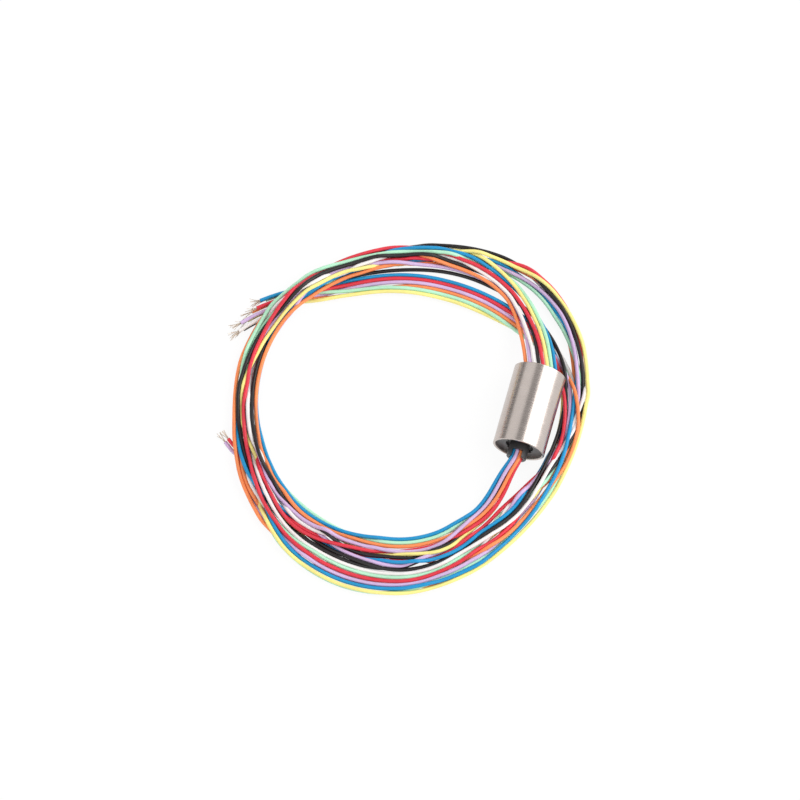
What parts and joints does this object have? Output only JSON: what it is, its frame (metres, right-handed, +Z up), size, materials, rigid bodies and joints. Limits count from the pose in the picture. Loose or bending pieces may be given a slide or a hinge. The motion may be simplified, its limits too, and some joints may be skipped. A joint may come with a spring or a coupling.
{
  "type": "capsule slip ring",
  "caption": "Slim capsule slip ring: a plain metal sleeve with a slotted rotating hub, and thin coloured leads from both ends laid in a loose coil.",
  "frame": {"origin": "on the surface that the part lies on, below the middle of the sleeve and its hub", "axes": "+Y along the sleeve's axis from the rotor hub to the stator end, +Z up; the rotor hub points to -Y"},
  "size_m": [0.0771, 0.08, 0.011],
  "materials": {
    "sleeve_steel": "fine turned satin steel, bare",
    "cover_plastic": "moulded dark grey plastic",
    "end_plate_plastic": "moulded near-black plastic",
    "hub_plastic": "moulded black plastic, slight sheen",
    "bearing_steel": "ground bearing steel",
    "ball_steel": "polished bearing steel",
    "cage_brass": "machined brass",
    "washer_brass": "turned brass",
    "gold_plate": "gold plate on turned brass",
    "brush_wire": "drawn precious-metal spring wire",
    "barrier_plastic": "moulded insulating plastic",
    "board": "green circuit board laminate",
    "tinned_copper": "tinned stranded copper",
    "lead_black": "smooth extruded black lead insulation",
    "lead_white": "smooth extruded white lead insulation",
    "lead_red": "smooth extruded red lead insulation",
    "lead_orange": "smooth extruded orange lead insulation",
    "lead_yellow": "smooth extruded yellow lead insulation",
    "lead_green": "smooth extruded green lead insulation",
    "lead_blue": "smooth extruded blue lead insulation",
    "lead_violet": "smooth extruded violet lead insulation"
  },
  "bodies": {
    "housing": {"housing_sleeve": "sleeve_steel", "front_cover": "cover_plastic", "stator_end_plate": "end_plate_plastic", "front_outer_race": "bearing_steel", "rear_outer_race": "bearing_steel", "brush_board": "board", "lead_coil": "lead_white", "rotor_lead_ends": "lead_red", "stator_lead_ends": "lead_blue", "tinned_tips": "tinned_copper", "brush_pair_1": "brush_wire", "brush_pair_2": "brush_wire", "brush_pair_3": "brush_wire", "brush_pair_4": "brush_wire", "brush_pair_5": "brush_wire", "brush_pair_6": "brush_wire", "brush_pair_7": "brush_wire", "brush_pair_8": "brush_wire", "rotor_lead_black": "lead_black", "stator_lead_black": "lead_black", "rotor_lead_white": "lead_white", "stator_lead_white": "lead_white", "rotor_lead_red": "lead_red", "stator_lead_red": "lead_red", "rotor_lead_orange": "lead_orange", "stator_lead_orange": "lead_orange", "rotor_lead_yellow": "lead_yellow", "stator_lead_yellow": "lead_yellow", "rotor_lead_green": "lead_green", "stator_lead_green": "lead_green", "rotor_lead_blue": "lead_blue", "stator_lead_blue": "lead_blue", "rotor_lead_violet": "lead_violet", "stator_lead_violet": "lead_violet"},
    "rotor": {"rotor_shaft": "hub_plastic", "ring_barriers": "barrier_plastic", "rotor_end_washer": "washer_brass", "front_inner_race": "bearing_steel", "rear_inner_race": "bearing_steel", "slip_ring_1": "gold_plate", "slip_ring_2": "gold_plate", "slip_ring_3": "gold_plate", "slip_ring_4": "gold_plate", "slip_ring_5": "gold_plate", "slip_ring_6": "gold_plate", "slip_ring_7": "gold_plate", "slip_ring_8": "gold_plate"},
    "front_ball_set": {"front_cage": "cage_brass", "front_balls": "ball_steel"},
    "rear_ball_set": {"rear_cage": "cage_brass", "rear_balls": "ball_steel"}
  },
  "joints": [
    {"name": "rotor_spin", "type": "hinge", "parent": "housing", "child": "rotor", "pos_m": [0, 0, 0.0055], "axis": [0, 1, 0], "continuous": true},
    {"name": "front_balls_spin", "type": "hinge", "parent": "housing", "child": "front_ball_set", "pos_m": [0, -0.0043, 0.0055], "axis": [0, 1, 0], "continuous": true},
    {"name": "rear_balls_spin", "type": "hinge", "parent": "housing", "child": "rear_ball_set", "pos_m": [0, 0.00735, 0.0055], "axis": [0, 1, 0], "continuous": true}
  ],
  "couplings": [
    {"joint": "front_balls_spin", "follows": "rotor_spin", "ratio": 0.42},
    {"joint": "rear_balls_spin", "follows": "rotor_spin", "ratio": 0.4}
  ]
}
